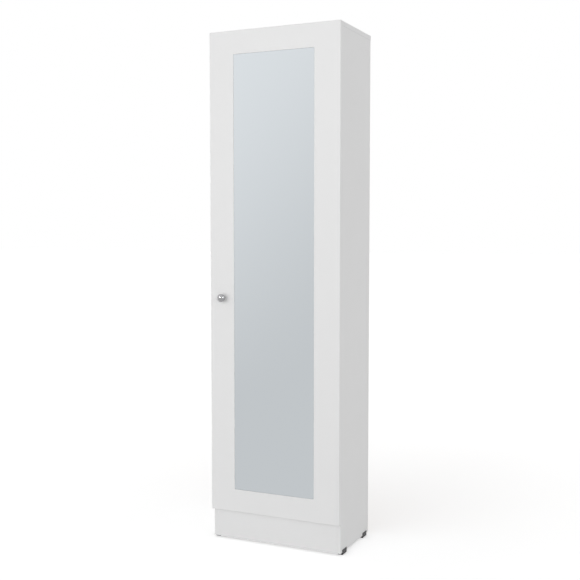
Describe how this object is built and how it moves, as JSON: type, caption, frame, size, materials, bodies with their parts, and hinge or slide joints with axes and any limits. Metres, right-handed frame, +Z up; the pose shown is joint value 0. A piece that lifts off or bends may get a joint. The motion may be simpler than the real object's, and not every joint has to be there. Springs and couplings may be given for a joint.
{
  "type": "broom cupboard",
  "caption": "Tall narrow white cupboard with a right-hung mirrored door, ball knob, plinth and black plastic shoes; inside, a broom bay below an upper shelf.",
  "frame": {"origin": "on the floor, under the centre of the cupboard's bounding box", "axes": "+Z up, +X to the right as one faces the door, +Y to the back; the door faces -Y"},
  "size_m": [0.4876, 0.3158, 1.7675],
  "materials": {
    "white_board": "white coated board, satin, faintly pebbled",
    "door_board": "white coated board with softly rounded edges, satin",
    "back_sheet": "thin white-faced fibre sheet",
    "mirror_glass": "silvered glass, faint blue-grey, polished bevel",
    "foam_tape": "white foam tape",
    "knob_metal": "satin chrome",
    "soft_dots": "clear soft plastic",
    "white_plastic": "white moulded plastic",
    "shoe_plastic": "black moulded plastic",
    "beech": "turned beech",
    "zinc": "die-cast zinc",
    "steel": "zinc-plated steel",
    "hinge_steel": "nickel-plated pressed steel"
  },
  "bodies": {
    "carcass": {"back_joint_strip": "white_plastic", "back_nails": "steel", "back_panel_lower": "back_sheet", "back_panel_upper": "back_sheet", "bottom_panel": "white_board", "cam_bolts": "steel", "cam_covers": "white_plastic", "cam_locks": "zinc", "dowels": "beech", "foot_front_left": "shoe_plastic", "foot_front_right": "shoe_plastic", "foot_nails": "steel", "foot_rear_left": "shoe_plastic", "foot_rear_right": "shoe_plastic", "hinge_arm_1": "hinge_steel", "hinge_arm_2": "hinge_steel", "hinge_arm_3": "hinge_steel", "hinge_arm_4": "hinge_steel", "hinge_arm_screws": "hinge_steel", "hinge_plate_1": "hinge_steel", "hinge_plate_2": "hinge_steel", "hinge_plate_3": "hinge_steel", "hinge_plate_4": "hinge_steel", "hinge_plate_screws": "hinge_steel", "left_side_panel": "white_board", "plinth": "white_board", "right_side_panel": "white_board", "top_panel": "white_board", "upper_shelf": "white_board"},
    "door": {"door_panel": "door_board", "mirror": "mirror_glass", "mirror_tape": "foam_tape", "knob": "knob_metal", "knob_screw": "steel", "door_bumpers": "soft_dots", "hinge_cup_1": "hinge_steel", "hinge_cup_2": "hinge_steel", "hinge_cup_3": "hinge_steel", "hinge_cup_4": "hinge_steel", "hinge_pins": "hinge_steel", "hinge_springs": "hinge_steel", "hinge_cup_screws": "hinge_steel"}
  },
  "joints": [
    {"name": "door_swing", "type": "hinge", "parent": "carcass", "child": "door", "pos_m": [0.2365, -0.12045, 0.94], "axis": [0, 0, 1], "range_deg": [0, 95]}
  ]
}
